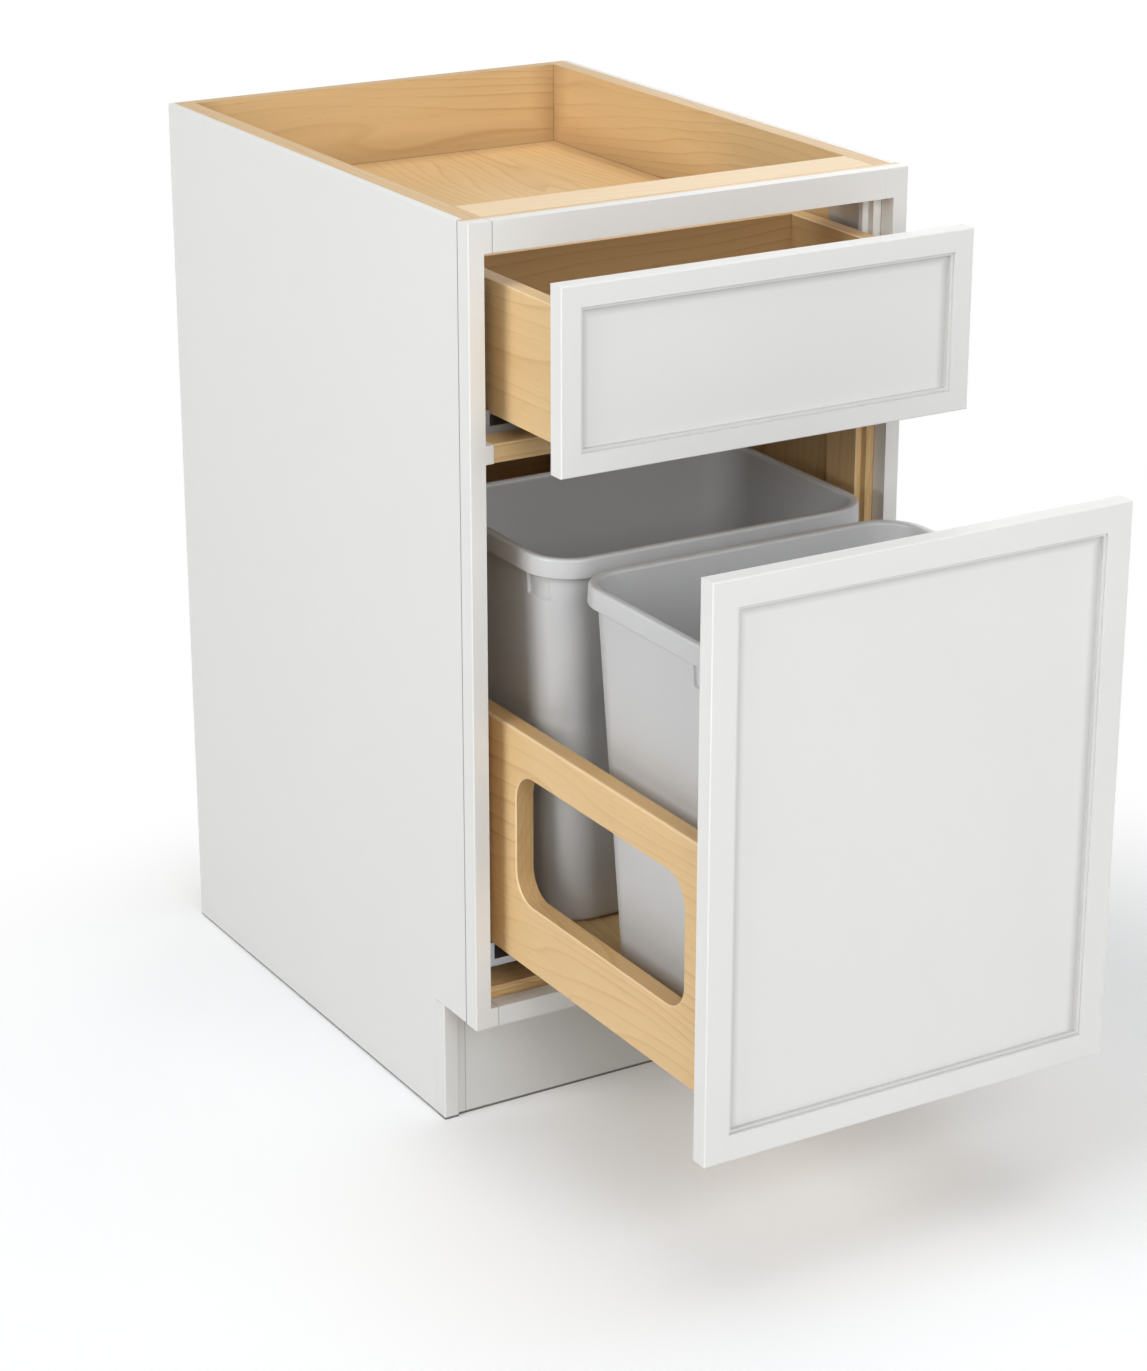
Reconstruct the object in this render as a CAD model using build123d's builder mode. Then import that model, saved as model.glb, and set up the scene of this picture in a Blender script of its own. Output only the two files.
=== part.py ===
from build123d import *
import os

# Pull-out waste cabinet: an 18 in base unit with a shallow drawer over a double-bin pull-out.
#
# Frame: +X to the right, +Y to the back, +Z up, millimetres. The origin is where the floor
# meets the wall, on the centre line of the cabinet. The drawer and the pull-out stand part
# open, as far as the two rest travels below.

os.makedirs("parts", exist_ok=True)

# ---------------------------------------------------------------- carcase
cabinet_width = 457.2
cabinet_depth = 609.6
cabinet_height = 876.3
skin_thickness = 6.0  # painted finished end
side_thickness = 18.0  # maple plywood behind the skin
back_thickness = 12.7
floor_thickness = 12.7
dado_depth = 6.0
toe_height = 120.0
toe_recess = 79.0  # face-frame front back to the notch
toe_board_thickness = 12.7
toe_strip_width = 15.0
toe_strip_depth = 16.0
toe_board_gap = 1.0  # under the notch
tray_drop = 80.3  # cabinet top down to the tray floor
tray_depth = 330.0
stretcher_depth = 48.0
stretcher_thickness = 19.0
cleat_thickness = 6.0
front_cleat_width = 48.0
front_cleat_setback = 8.0  # behind the face frame
rear_cleat_width = 50.0

# ---------------------------------------------------------------- face frame
frame_thickness = 19.05
stile_reveal = 15.5  # stile width beside the openings
top_rail_height = 27.3
drawer_opening_height = 170.0
mid_rail_height = 17.0
mid_rail_depth = 60.0
mid_rail_setback = 1.0
bottom_rail_height = 19.0
floor_stop = 12.0  # floor stands this far above the bottom rail
edge_ease = 0.8
joint_ease = 0.8  # where rails meet stiles

# ---------------------------------------------------------------- inset fronts
front_gap = 2.5
front_thickness = 17.5
drawer_frame_width = 22.5
door_frame_width = 27.5
bead_width = 2.5
bead_depth = 3.0
panel_recess = 7.0
panel_thickness = 6.0
panel_tongue = 7.0
panel_slack = 0.3

# ---------------------------------------------------------------- drawer box
drawer_side_clearance = 8.6  # front cleats in to the drawer sides
drawer_top_clearance = 31.0  # under the top rail
drawer_rear_clearance = 20.4  # shut, in front of the tray floor
drawer_side_thickness = 16.0
drawer_rise = 18.5  # mid rail up to the drawer sides
drawer_bottom_thickness = 6.0
drawer_bottom_recess = 13.0
drawer_groove_depth = 7.0

# ---------------------------------------------------------------- pull-out
pullout_side_clearance = 3.6  # front cleats in to the side frames
pullout_rear_clearance = 19.4  # shut, in front of the back panel
pullout_side_thickness = 19.0
pullout_side_height = 227.0
pullout_rise = 40.0  # cabinet floor up to the side frames
window_front_margin = 43.0
window_length = 283.0
window_bottom_margin = 63.0
window_height = 124.0
window_radius = 28.0
window_ease = 1.2
side_frame_round = 3.0
cross_rail_thickness = 16.0
cross_rail_height = 90.0
platform_thickness = 12.0
platform_rise = 10.0

# ---------------------------------------------------------------- bins
bin_side_gap = 1.0  # side frames in to the rims
bin_front_gap = 6.0
bin_spacing = 30.0
bin_rear_gap = 2.0
bin_seat_gap = 0.3
bin_head_room = 86.0  # rims up to the mid rail
bin_wall = 2.5
bin_draft = 17.0  # each wall leans in this far from rim to base
bin_corner_radius = 37.0
bin_base_bevel = 6.0
rim_overhang = 8.0
rim_skirt = 17.0
rim_round = 2.2
rim_collar = 0.5  # root of the rim, outside the wall
corner_pad_height = 26.0
corner_pad_reach = 12.0  # past the corner's arc
corner_pad_thickness = 1.5

# ---------------------------------------------------------------- slides
slide_gauge = 1.6
slide_running_gap = 0.5
slide_web = 3.0
slide_slot = 14.0
drawer_slide_width = 30.0
drawer_slide_inset = 45.0  # drawer side's outer face in to the slide's centre
drawer_slide_end_gap = 2.5  # short of the drawer's back
pullout_slide_width = 30.0
pullout_slide_inset = 60.0  # side frame's outer face in to the slide's centre
pullout_slide_rear_gap = 41.85  # in front of the back panel
slide_setback = 3.0  # behind the face frame
pullout_slide_lift = 14.0  # cabinet floor up to the brackets' feet
slide_channel_share = 0.42  # of a slide's height, in each channel
slide_bend = 2.4  # outer radius of a rolled corner
bracket_gauge = 1.5
bracket_width = 48.0
bracket_setback = 4.0  # behind a front cleat's edge, or in front of a rear cleat
bracket_lip = 5.5  # turned in along a front bracket's front edge
bracket_lip_gap = 2.0  # clear of what moves past the lip
drawer_bracket_height = 176.0
drawer_lip_height = 22.0
rear_drawer_bracket_height = 80.0
pullout_bracket_height = 60.0

# ---------------------------------------------------------------- travels
drawer_rest_travel = 125.0
pullout_rest_travel = 360.0

# ---------------------------------------------------------------- worked-out places
half_width = cabinet_width / 2
side_outer = half_width - skin_thickness
side_inner = side_outer - side_thickness
frame_front = -cabinet_depth
frame_back = frame_front + frame_thickness
back_front = -back_thickness
opening_half = half_width - stile_reveal
drawer_opening_top = cabinet_height - top_rail_height
mid_rail_top = drawer_opening_top - drawer_opening_height
mid_rail_bottom = mid_rail_top - mid_rail_height
door_opening_bottom = toe_height + bottom_rail_height
floor_top = door_opening_bottom + floor_stop
floor_bottom = floor_top - floor_thickness
toe_notch = frame_front + toe_recess
tray_top = cabinet_height - tray_drop
tray_bottom = tray_top - floor_thickness
cleat_inner = side_inner - cleat_thickness
front_cleat_span = (
    frame_back + front_cleat_setback,
    frame_back + front_cleat_setback + front_cleat_width,
)
closed_front_back = frame_front + front_thickness  # rear face of a closed front


def span_middle(span):
    """Middle of a (low, high) pair."""
    return (span[0] + span[1]) / 2


def board(x_span, y_span, z_span):
    """Add a square-edged board that fills the three spans."""
    with BuildSketch(Plane.XY.offset(z_span[0])) as outline:
        with Locations((span_middle(x_span), span_middle(y_span))):
            Rectangle(x_span[1] - x_span[0], y_span[1] - y_span[0])
    extrude(outline.sketch, amount=z_span[1] - z_span[0])


def groove(x_span, y_span, z_span):
    """Cut a square groove that fills the three spans."""
    with BuildSketch(Plane.XY.offset(z_span[0])) as outline:
        with Locations((span_middle(x_span), span_middle(y_span))):
            Rectangle(x_span[1] - x_span[0], y_span[1] - y_span[0])
    extrude(outline.sketch, amount=z_span[1] - z_span[0], mode=Mode.SUBTRACT)


def write(piece, name):
    """Label one finished piece and write its file."""
    piece.part.label = name
    export_step(piece.part, f"parts/{name}.step")


def write_pair(piece, name):
    """Write a right-hand piece and its mirror image on the left."""
    write(piece, f"right_{name}")
    with BuildPart() as left_piece:
        mirror(piece.part, about=Plane.YZ)
    write(left_piece, f"left_{name}")


# ================================================================ carcase
def side_outline():
    """Side of the cabinet with its toe notch, from the wall to the face frame."""
    with BuildSketch(Plane.YZ) as outline:
        with BuildLine():
            Polyline(
                (0, 0),
                (toe_notch, 0),
                (toe_notch, toe_height),
                (frame_back, toe_height),
                (frame_back, cabinet_height),
                (0, cabinet_height),
                close=True,
            )
        make_face()
    return outline.sketch


with BuildPart() as side_panel:
    extrude(side_outline().moved(Location((side_inner, 0, 0))), amount=side_thickness)
    groove(
        (side_inner, side_inner + dado_depth),
        (frame_back, back_front),
        (floor_bottom, floor_top),
    )
    groove(
        (side_inner, side_inner + dado_depth),
        (back_front - tray_depth, back_front),
        (tray_bottom, tray_top),
    )
write_pair(side_panel, "side_panel")

with BuildPart() as side_skin:
    extrude(side_outline().moved(Location((side_outer, 0, 0))), amount=skin_thickness)
    chamfer(side_skin.faces().sort_by(Axis.X)[-1].edges(), edge_ease)
write_pair(side_skin, "side_skin")

with BuildPart() as back_panel:
    board((-side_inner, side_inner), (back_front, 0), (0, cabinet_height))
back_panel.part.label = "back_panel"
export_step(back_panel.part, "parts/back_panel.step")

with BuildPart() as cabinet_floor:
    board(
        (-side_inner - dado_depth, side_inner + dado_depth),
        (frame_back, back_front),
        (floor_bottom, floor_top),
    )
cabinet_floor.part.label = "cabinet_floor"
export_step(cabinet_floor.part, "parts/cabinet_floor.step")

with BuildPart() as tray_floor:
    board(
        (-side_inner - dado_depth, side_inner + dado_depth),
        (back_front - tray_depth, back_front),
        (tray_bottom, tray_top),
    )
tray_floor.part.label = "tray_floor"
export_step(tray_floor.part, "parts/tray_floor.step")

with BuildPart() as front_stretcher:
    board(
        (-side_inner, side_inner),
        (frame_back, frame_back + stretcher_depth),
        (cabinet_height - stretcher_thickness, cabinet_height),
    )
    chamfer(front_stretcher.faces().sort_by(Axis.Z)[-1].edges(), edge_ease)
front_stretcher.part.label = "front_stretcher"
export_step(front_stretcher.part, "parts/front_stretcher.step")

with BuildPart() as lower_front_cleat:
    board(
        (cleat_inner, side_inner),
        front_cleat_span,
        (floor_top, mid_rail_bottom),
    )
    chamfer(lower_front_cleat.faces().sort_by(Axis.X)[0].edges().filter_by(Axis.Z), edge_ease)
write_pair(lower_front_cleat, "lower_front_cleat")

with BuildPart() as upper_front_cleat:
    board(
        (cleat_inner, side_inner),
        front_cleat_span,
        (mid_rail_top, cabinet_height - stretcher_thickness),
    )
    chamfer(upper_front_cleat.faces().sort_by(Axis.X)[0].edges().filter_by(Axis.Z), edge_ease)
write_pair(upper_front_cleat, "upper_front_cleat")

with BuildPart() as rear_cleat:
    board(
        (cleat_inner, side_inner),
        (back_front - rear_cleat_width, back_front),
        (floor_top, tray_bottom),
    )
    chamfer(rear_cleat.faces().sort_by(Axis.X)[0].edges().filter_by(Axis.Z), edge_ease)
write_pair(rear_cleat, "rear_cleat")

with BuildPart() as toe_strip:
    board(
        (half_width - toe_strip_width, half_width),
        (toe_notch - toe_strip_depth, toe_notch),
        (0, toe_height),
    )
    chamfer(toe_strip.faces().sort_by(Axis.Y)[0].edges().filter_by(Axis.Z), edge_ease)
write_pair(toe_strip, "toe_strip")

with BuildPart() as toe_board:
    board(
        (toe_strip_width - half_width, half_width - toe_strip_width),
        (toe_notch - toe_board_thickness, toe_notch),
        (0, toe_height - toe_board_gap),
    )
toe_board.part.label = "toe_board"
export_step(toe_board.part, "parts/toe_board.step")

# ================================================================ face frame
with BuildPart() as stile:
    with BuildSketch(Plane.XZ.offset(-frame_back)):
        with BuildLine():
            Polyline(
                (half_width, toe_height),
                (half_width, cabinet_height),
                (side_inner, cabinet_height),
                (side_inner, drawer_opening_top),
                (opening_half, drawer_opening_top),
                (opening_half, mid_rail_top),
                (side_inner, mid_rail_top),
                (side_inner, mid_rail_bottom),
                (opening_half, mid_rail_bottom),
                (opening_half, door_opening_bottom),
                (side_inner, door_opening_bottom),
                (side_inner, toe_height),
                close=True,
            )
        make_face()
    extrude(amount=frame_thickness)
    outer_edges = stile.faces().sort_by(Axis.X)[-1].edges().filter_by(Axis.Z)
    chamfer(outer_edges, edge_ease)
    front_edges = stile.edges().filter_by(Axis.Z).group_by(Axis.Y)[0]
    chamfer(front_edges.group_by(Axis.X)[0], joint_ease)
write_pair(stile, "stile")

with BuildPart() as top_rail:
    board(
        (-side_inner, side_inner),
        (frame_front, frame_back),
        (drawer_opening_top, cabinet_height),
    )
    chamfer(top_rail.faces().sort_by(Axis.Y)[0].edges().filter_by(Axis.Z), joint_ease)
top_rail.part.label = "top_rail"
export_step(top_rail.part, "parts/top_rail.step")

with BuildPart() as mid_rail:
    board(
        (-side_inner, side_inner),
        (frame_front + mid_rail_setback, frame_front + mid_rail_depth),
        (mid_rail_bottom, mid_rail_top),
    )
    chamfer(mid_rail.faces().sort_by(Axis.Y)[0].edges().filter_by(Axis.X), edge_ease)
mid_rail.part.label = "mid_rail"
export_step(mid_rail.part, "parts/mid_rail.step")

with BuildPart() as bottom_rail:
    board(
        (-side_inner, side_inner),
        (frame_front, frame_back),
        (toe_height, door_opening_bottom),
    )
    chamfer(bottom_rail.faces().sort_by(Axis.Y)[0].edges().filter_by(Axis.Z), joint_ease)
bottom_rail.part.label = "bottom_rail"
export_step(bottom_rail.part, "parts/bottom_rail.step")


# ================================================================ framed fronts
def front_frame(width, bottom, top, rail_width, front_y):
    """Add a painted frame with a stepped bead, grooved at the back for its panel."""
    height = top - bottom
    middle = (bottom + top) / 2
    inner_width = width - 2 * rail_width
    inner_height = height - 2 * rail_width
    with BuildSketch(Plane.XZ.offset(-front_y - front_thickness)) as ring:
        with Locations((0, middle)):
            Rectangle(width, height)
            Rectangle(inner_width, inner_height, mode=Mode.SUBTRACT)
    extrude(ring.sketch, amount=front_thickness)
    with BuildSketch(Plane.XZ.offset(-front_y - bead_depth)) as bead:
        with Locations((0, middle)):
            Rectangle(inner_width + 2 * bead_width, inner_height + 2 * bead_width)
    extrude(bead.sketch, amount=bead_depth, mode=Mode.SUBTRACT)
    panel_back = front_y + panel_recess + panel_thickness
    with BuildSketch(Plane.XZ.offset(-panel_back)) as rebate:
        with Locations((0, middle)):
            Rectangle(inner_width + 2 * panel_tongue, inner_height + 2 * panel_tongue)
    extrude(rebate.sketch, amount=panel_thickness, mode=Mode.SUBTRACT)


def front_panel(width, bottom, top, rail_width, front_y):
    """Add the flat panel that floats in the frame's groove."""
    tongue = panel_tongue - panel_slack
    with BuildSketch(Plane.XZ.offset(-front_y - panel_recess - panel_thickness)) as face:
        with Locations((0, (bottom + top) / 2)):
            Rectangle(
                width - 2 * rail_width + 2 * tongue,
                top - bottom - 2 * rail_width + 2 * tongue,
            )
    extrude(face.sketch, amount=panel_thickness)


def ease_front(frame):
    """Ease the front edges of a painted frame, outside and at the bead's lip."""
    chamfer(frame.edges().group_by(Axis.Y)[0], edge_ease)


front_width = 2 * (opening_half - front_gap)

# ================================================================ drawer
drawer_shift = -drawer_rest_travel
drawer_front_y = frame_front + drawer_shift
drawer_box_front = drawer_front_y + front_thickness
drawer_length = back_front - tray_depth - drawer_rear_clearance - closed_front_back
drawer_box_back = drawer_box_front + drawer_length
drawer_bottom_edge = mid_rail_top + drawer_rise
drawer_top_edge = drawer_opening_top - drawer_top_clearance
drawer_half = cleat_inner - drawer_side_clearance
drawer_inner = drawer_half - drawer_side_thickness
drawer_panel_low = drawer_bottom_edge + drawer_bottom_recess
drawer_panel_high = drawer_panel_low + drawer_bottom_thickness
drawer_front_span = (mid_rail_top + front_gap, drawer_opening_top - front_gap)

with BuildPart() as drawer_front_frame:
    front_frame(front_width, *drawer_front_span, drawer_frame_width, drawer_front_y)
    ease_front(drawer_front_frame)
drawer_front_frame.part.label = "drawer_front_frame"
export_step(drawer_front_frame.part, "parts/drawer_front_frame.step")

with BuildPart() as drawer_front_panel:
    front_panel(front_width, *drawer_front_span, drawer_frame_width, drawer_front_y)
drawer_front_panel.part.label = "drawer_front_panel"
export_step(drawer_front_panel.part, "parts/drawer_front_panel.step")


with BuildPart() as drawer_side:
    board(
        (drawer_inner, drawer_half),
        (drawer_box_front, drawer_box_back),
        (drawer_bottom_edge, drawer_top_edge),
    )
    groove(
        (drawer_inner, drawer_inner + drawer_groove_depth),
        (drawer_box_front, drawer_box_back),
        (drawer_panel_low, drawer_panel_high),
    )
    chamfer(drawer_side.faces().sort_by(Axis.Z)[-1].edges().filter_by(Axis.Y), edge_ease)
write_pair(drawer_side, "drawer_side")

with BuildPart() as drawer_box_front_board:
    board(
        (-drawer_inner, drawer_inner),
        (drawer_box_front, drawer_box_front + drawer_side_thickness),
        (drawer_bottom_edge, drawer_top_edge),
    )
    groove(
        (-drawer_inner, drawer_inner),
        (
            drawer_box_front + drawer_side_thickness - drawer_groove_depth,
            drawer_box_front + drawer_side_thickness,
        ),
        (drawer_panel_low, drawer_panel_high),
    )
drawer_box_front_board.part.label = "drawer_box_front"
export_step(drawer_box_front_board.part, "parts/drawer_box_front.step")

with BuildPart() as drawer_back:
    board(
        (-drawer_inner, drawer_inner),
        (drawer_box_back - drawer_side_thickness, drawer_box_back),
        (drawer_panel_high, drawer_top_edge),
    )
drawer_back.part.label = "drawer_back"
export_step(drawer_back.part, "parts/drawer_back.step")

with BuildPart() as drawer_bottom:
    board(
        (-drawer_inner - drawer_groove_depth, drawer_inner + drawer_groove_depth),
        (drawer_box_front + drawer_side_thickness - drawer_groove_depth, drawer_box_back),
        (drawer_panel_low, drawer_panel_high),
    )
drawer_bottom.part.label = "drawer_bottom"
export_step(drawer_bottom.part, "parts/drawer_bottom.step")


# ================================================================ slides
def channel(centre_x, base_z, width, height, mouth_up):
    """Section of a rolled channel with lips, its mouth up or down."""
    lip_z = base_z + height - slide_gauge / 2 if mouth_up else base_z + slide_gauge / 2
    with BuildSketch(Plane.XZ) as section:
        with Locations((centre_x, base_z + height / 2)):
            RectangleRounded(width, height, slide_bend)
            RectangleRounded(
                width - 2 * slide_gauge,
                height - 2 * slide_gauge,
                slide_bend - slide_gauge,
                mode=Mode.SUBTRACT,
            )
        with Locations((centre_x, lip_z)):
            Rectangle(slide_slot, slide_gauge, mode=Mode.SUBTRACT)
    return section.sketch


def runner_section(centre_x, base_z, width, height):
    """Section of the runner: two flanges on a web, one flange in each channel."""
    inset = slide_gauge + slide_running_gap
    flange = width - 2 * inset
    with BuildSketch(Plane.XZ) as section:
        with Locations((centre_x, base_z + height / 2)):
            Rectangle(slide_web, height - 2 * inset)
        for flange_z in (base_z + inset, base_z + height - inset - slide_gauge):
            with Locations((centre_x, flange_z + slide_gauge / 2)):
                Rectangle(flange, slide_gauge)
    return section.sketch


def slide_bar(section, front_y, length):
    """Add one bar of a slide from its section in the plane of the wall."""
    extrude(section.moved(Location((0, front_y + length, 0))), amount=length)


def write_slides(name, centre_x, base_z, width, height, front_y, length, travel):
    """Write the three bars of a slide, right and left, at the rest travel."""
    channel_height = slide_channel_share * height
    with BuildPart() as fixed_bar:
        section = channel(centre_x, base_z, width, channel_height, mouth_up=True)
        slide_bar(section, front_y, length)
    write_pair(fixed_bar, f"{name}_slide_rail")
    with BuildPart() as runner:
        section = runner_section(centre_x, base_z, width, height)
        slide_bar(section, front_y - travel / 2, length)
    write_pair(runner, f"{name}_slide_runner")
    with BuildPart() as moving_bar:
        high_base = base_z + height - channel_height
        section = channel(centre_x, high_base, width, channel_height, mouth_up=False)
        slide_bar(section, front_y - travel, length)
    write_pair(moving_bar, f"{name}_slide_carrier")


drawer_slide_x = drawer_half - drawer_slide_inset
drawer_slide_base = mid_rail_top + bracket_gauge
drawer_slide_front = closed_front_back + drawer_side_thickness + slide_running_gap
drawer_slide_back = closed_front_back + drawer_length - drawer_slide_end_gap
write_slides(
    "drawer",
    drawer_slide_x,
    drawer_slide_base,
    drawer_slide_width,
    drawer_panel_low - drawer_slide_base,
    drawer_slide_front,
    drawer_slide_back - drawer_slide_front,
    drawer_rest_travel,
)


def slide_bracket(wall_x, front_y, base_z, height, foot_end):
    """Add an angle plate: a leg on the wall and a foot under the slide rail."""
    with BuildSketch(Plane.XZ.offset(-front_y - bracket_width)) as section:
        with BuildLine():
            Polyline(
                (wall_x, base_z),
                (wall_x, base_z + height),
                (wall_x - bracket_gauge, base_z + height),
                (wall_x - bracket_gauge, base_z + bracket_gauge),
                (foot_end, base_z + bracket_gauge),
                (foot_end, base_z),
                close=True,
            )
        make_face()
        bend = section.vertices().group_by(Axis.X)[-1].sort_by(Axis.Y)[0]
        fillet(bend, bracket_gauge)
    extrude(section.sketch, amount=bracket_width)


def front_bracket(base_z, height, lip_top, slide_x, slide_width):
    """Add the bracket behind a stile, with a lip turned in along its front edge."""
    front_y = front_cleat_span[0] + bracket_setback
    slide_bracket(cleat_inner, front_y, base_z, height, slide_x - slide_width / 2)
    leg = cleat_inner - bracket_gauge
    foot = base_z + bracket_gauge
    lip_end = slide_x + slide_width / 2 + bracket_lip_gap
    board((leg - bracket_lip, leg), (front_y, front_y + bracket_gauge), (foot, lip_top))
    board((lip_end, leg), (front_y, front_y + bracket_gauge), (foot, foot + bracket_lip))


with BuildPart() as front_slide_bracket:
    front_bracket(
        mid_rail_top,
        drawer_bracket_height,
        mid_rail_top + drawer_lip_height,
        drawer_slide_x,
        drawer_slide_width,
    )
write_pair(front_slide_bracket, "front_slide_bracket")

with BuildPart() as rear_slide_bracket:
    slide_bracket(
        side_inner,
        drawer_slide_back - bracket_width,
        mid_rail_top,
        rear_drawer_bracket_height,
        drawer_slide_x - drawer_slide_width / 2,
    )
write_pair(rear_slide_bracket, "rear_slide_bracket")

# ================================================================ pull-out
pullout_shift = -pullout_rest_travel
door_front_y = frame_front + pullout_shift
pullout_front = door_front_y + front_thickness
pullout_back = back_front - pullout_rear_clearance + pullout_shift
pullout_half = cleat_inner - pullout_side_clearance
pullout_inner = pullout_half - pullout_side_thickness
pullout_base = floor_top + pullout_rise
door_span = (door_opening_bottom + front_gap, mid_rail_bottom - front_gap)
platform_low = pullout_base + platform_rise
platform_top = platform_low + platform_thickness

with BuildPart() as door_frame:
    front_frame(front_width, *door_span, door_frame_width, door_front_y)
    ease_front(door_frame)
door_frame.part.label = "door_frame"
export_step(door_frame.part, "parts/door_frame.step")

with BuildPart() as door_panel:
    front_panel(front_width, *door_span, door_frame_width, door_front_y)
door_panel.part.label = "door_panel"
export_step(door_panel.part, "parts/door_panel.step")

with BuildPart() as pullout_side:
    board(
        (pullout_inner, pullout_half),
        (pullout_front, pullout_back),
        (pullout_base, pullout_base + pullout_side_height),
    )
    top_edges = pullout_side.faces().sort_by(Axis.Z)[-1].edges().filter_by(Axis.Y)
    fillet(top_edges, side_frame_round)
    with BuildSketch(Plane.YZ.offset(pullout_inner)):
        with Locations(
            (
                pullout_front + window_front_margin + window_length / 2,
                pullout_base + window_bottom_margin + window_height / 2,
            )
        ):
            RectangleRounded(window_length, window_height, window_radius)
    extrude(amount=pullout_side_thickness, mode=Mode.SUBTRACT)
    faces = pullout_side.faces().filter_by(Axis.X).sort_by(Axis.X)
    for face in (faces[0], faces[-1]):
        chamfer(face.inner_wires().edges(), window_ease)
    groove(
        (pullout_inner, pullout_inner + dado_depth),
        (pullout_front, pullout_back),
        (platform_low, platform_top),
    )
write_pair(pullout_side, "pullout_side")

with BuildPart() as front_cross_rail:
    board(
        (-pullout_inner, pullout_inner),
        (pullout_front, pullout_front + cross_rail_thickness),
        (platform_top, platform_top + cross_rail_height),
    )
    chamfer(front_cross_rail.faces().sort_by(Axis.Z)[-1].edges().filter_by(Axis.X), edge_ease)
front_cross_rail.part.label = "front_cross_rail"
export_step(front_cross_rail.part, "parts/front_cross_rail.step")

with BuildPart() as rear_cross_rail:
    board(
        (-pullout_inner, pullout_inner),
        (pullout_back - cross_rail_thickness, pullout_back),
        (platform_top, platform_top + cross_rail_height),
    )
    chamfer(rear_cross_rail.faces().sort_by(Axis.Z)[-1].edges().filter_by(Axis.X), edge_ease)
rear_cross_rail.part.label = "rear_cross_rail"
export_step(rear_cross_rail.part, "parts/rear_cross_rail.step")

with BuildPart() as bin_platform:
    board(
        (-pullout_inner - dado_depth, pullout_inner + dado_depth),
        (pullout_front, pullout_back),
        (platform_low, platform_top),
    )
bin_platform.part.label = "bin_platform"
export_step(bin_platform.part, "parts/bin_platform.step")

pullout_slide_x = pullout_half - pullout_slide_inset
pullout_bracket_base = floor_top + pullout_slide_lift
pullout_slide_base = pullout_bracket_base + bracket_gauge
pullout_slide_front = frame_back + slide_setback
pullout_slide_back = back_front - pullout_slide_rear_gap
write_slides(
    "pullout",
    pullout_slide_x,
    pullout_slide_base,
    pullout_slide_width,
    platform_low - pullout_slide_base,
    pullout_slide_front,
    pullout_slide_back - pullout_slide_front,
    pullout_rest_travel,
)

with BuildPart() as front_pullout_slide_bracket:
    front_bracket(
        pullout_bracket_base,
        pullout_bracket_height,
        pullout_base - bracket_lip_gap,
        pullout_slide_x,
        pullout_slide_width,
    )
write_pair(front_pullout_slide_bracket, "front_pullout_slide_bracket")

with BuildPart() as rear_pullout_slide_bracket:
    slide_bracket(
        side_inner,
        back_front - rear_cleat_width - bracket_setback - bracket_width,
        pullout_bracket_base,
        pullout_bracket_height,
        pullout_slide_x - pullout_slide_width / 2,
    )
write_pair(rear_pullout_slide_bracket, "rear_pullout_slide_bracket")

# ================================================================ bins
bins_length = pullout_back - pullout_front - 2 * cross_rail_thickness
bin_rim_depth = (bins_length - bin_front_gap - bin_spacing - bin_rear_gap) / 2
bin_rim_width = 2 * (pullout_inner - bin_side_gap)
bin_rim_radius = bin_corner_radius + rim_overhang
bin_base = platform_top + bin_seat_gap
bin_height = mid_rail_bottom - bin_head_room - bin_base
body_width = bin_rim_width - 2 * rim_overhang  # at the rim
body_depth = bin_rim_depth - 2 * rim_overhang


def drafted_block(inset, low_z):
    """Block with leaning walls and round corners, drawn in by the inset all round."""
    mouth_width = body_width - 2 * inset
    mouth_depth = body_depth - 2 * inset
    lean = bin_draft * (bin_height - low_z) / bin_height
    with BuildPart(Plane.XY.offset(low_z)) as block:
        Wedge(
            mouth_width,
            bin_height - low_z,
            mouth_depth,
            lean,
            lean,
            mouth_width - lean,
            mouth_depth - lean,
            rotation=(-90, 0, 0),
            align=(Align.CENTER, Align.MAX, Align.CENTER),
        )
        corners = block.edges().filter_by(lambda edge: abs(edge.tangent_at(0.5).Z) > 0.5)
        fillet(corners, bin_corner_radius - inset)
        chamfer(block.faces().sort_by(Axis.Z)[0].edges(), bin_base_bevel)
    return block.part


bin_body = drafted_block(0, 0)
bin_cavity = drafted_block(bin_wall, bin_wall)

with BuildPart() as bin_shell:
    add(bin_body)
    skirt_z = bin_height - rim_skirt
    with BuildSketch(Plane.XY.offset(skirt_z)):
        RectangleRounded(bin_rim_width, bin_rim_depth, bin_rim_radius)
    extrude(amount=rim_skirt)
    fillet(bin_shell.faces().sort_by(Axis.Z)[-1].edges(), rim_round)
    with BuildSketch(Plane.XY.offset(skirt_z)):
        RectangleRounded(
            bin_rim_width - 2 * bin_wall, bin_rim_depth - 2 * bin_wall, bin_rim_radius - bin_wall
        )
        RectangleRounded(
            body_width + 2 * rim_collar,
            body_depth + 2 * rim_collar,
            bin_corner_radius + rim_collar,
            mode=Mode.SUBTRACT,
        )
    extrude(amount=rim_skirt - bin_wall, mode=Mode.SUBTRACT)
    with BuildSketch(Plane.XY.offset(skirt_z - corner_pad_height)):
        RectangleRounded(
            body_width + 2 * corner_pad_thickness,
            body_depth + 2 * corner_pad_thickness,
            bin_corner_radius + corner_pad_thickness,
        )
        corner_span = 2 * (bin_corner_radius + corner_pad_reach)
        Rectangle(body_width - corner_span, bin_rim_depth, mode=Mode.SUBTRACT)
        Rectangle(bin_rim_width, body_depth - corner_span, mode=Mode.SUBTRACT)
    extrude(amount=corner_pad_height + rim_skirt - bin_wall)
    add(bin_cavity, mode=Mode.SUBTRACT)

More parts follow.
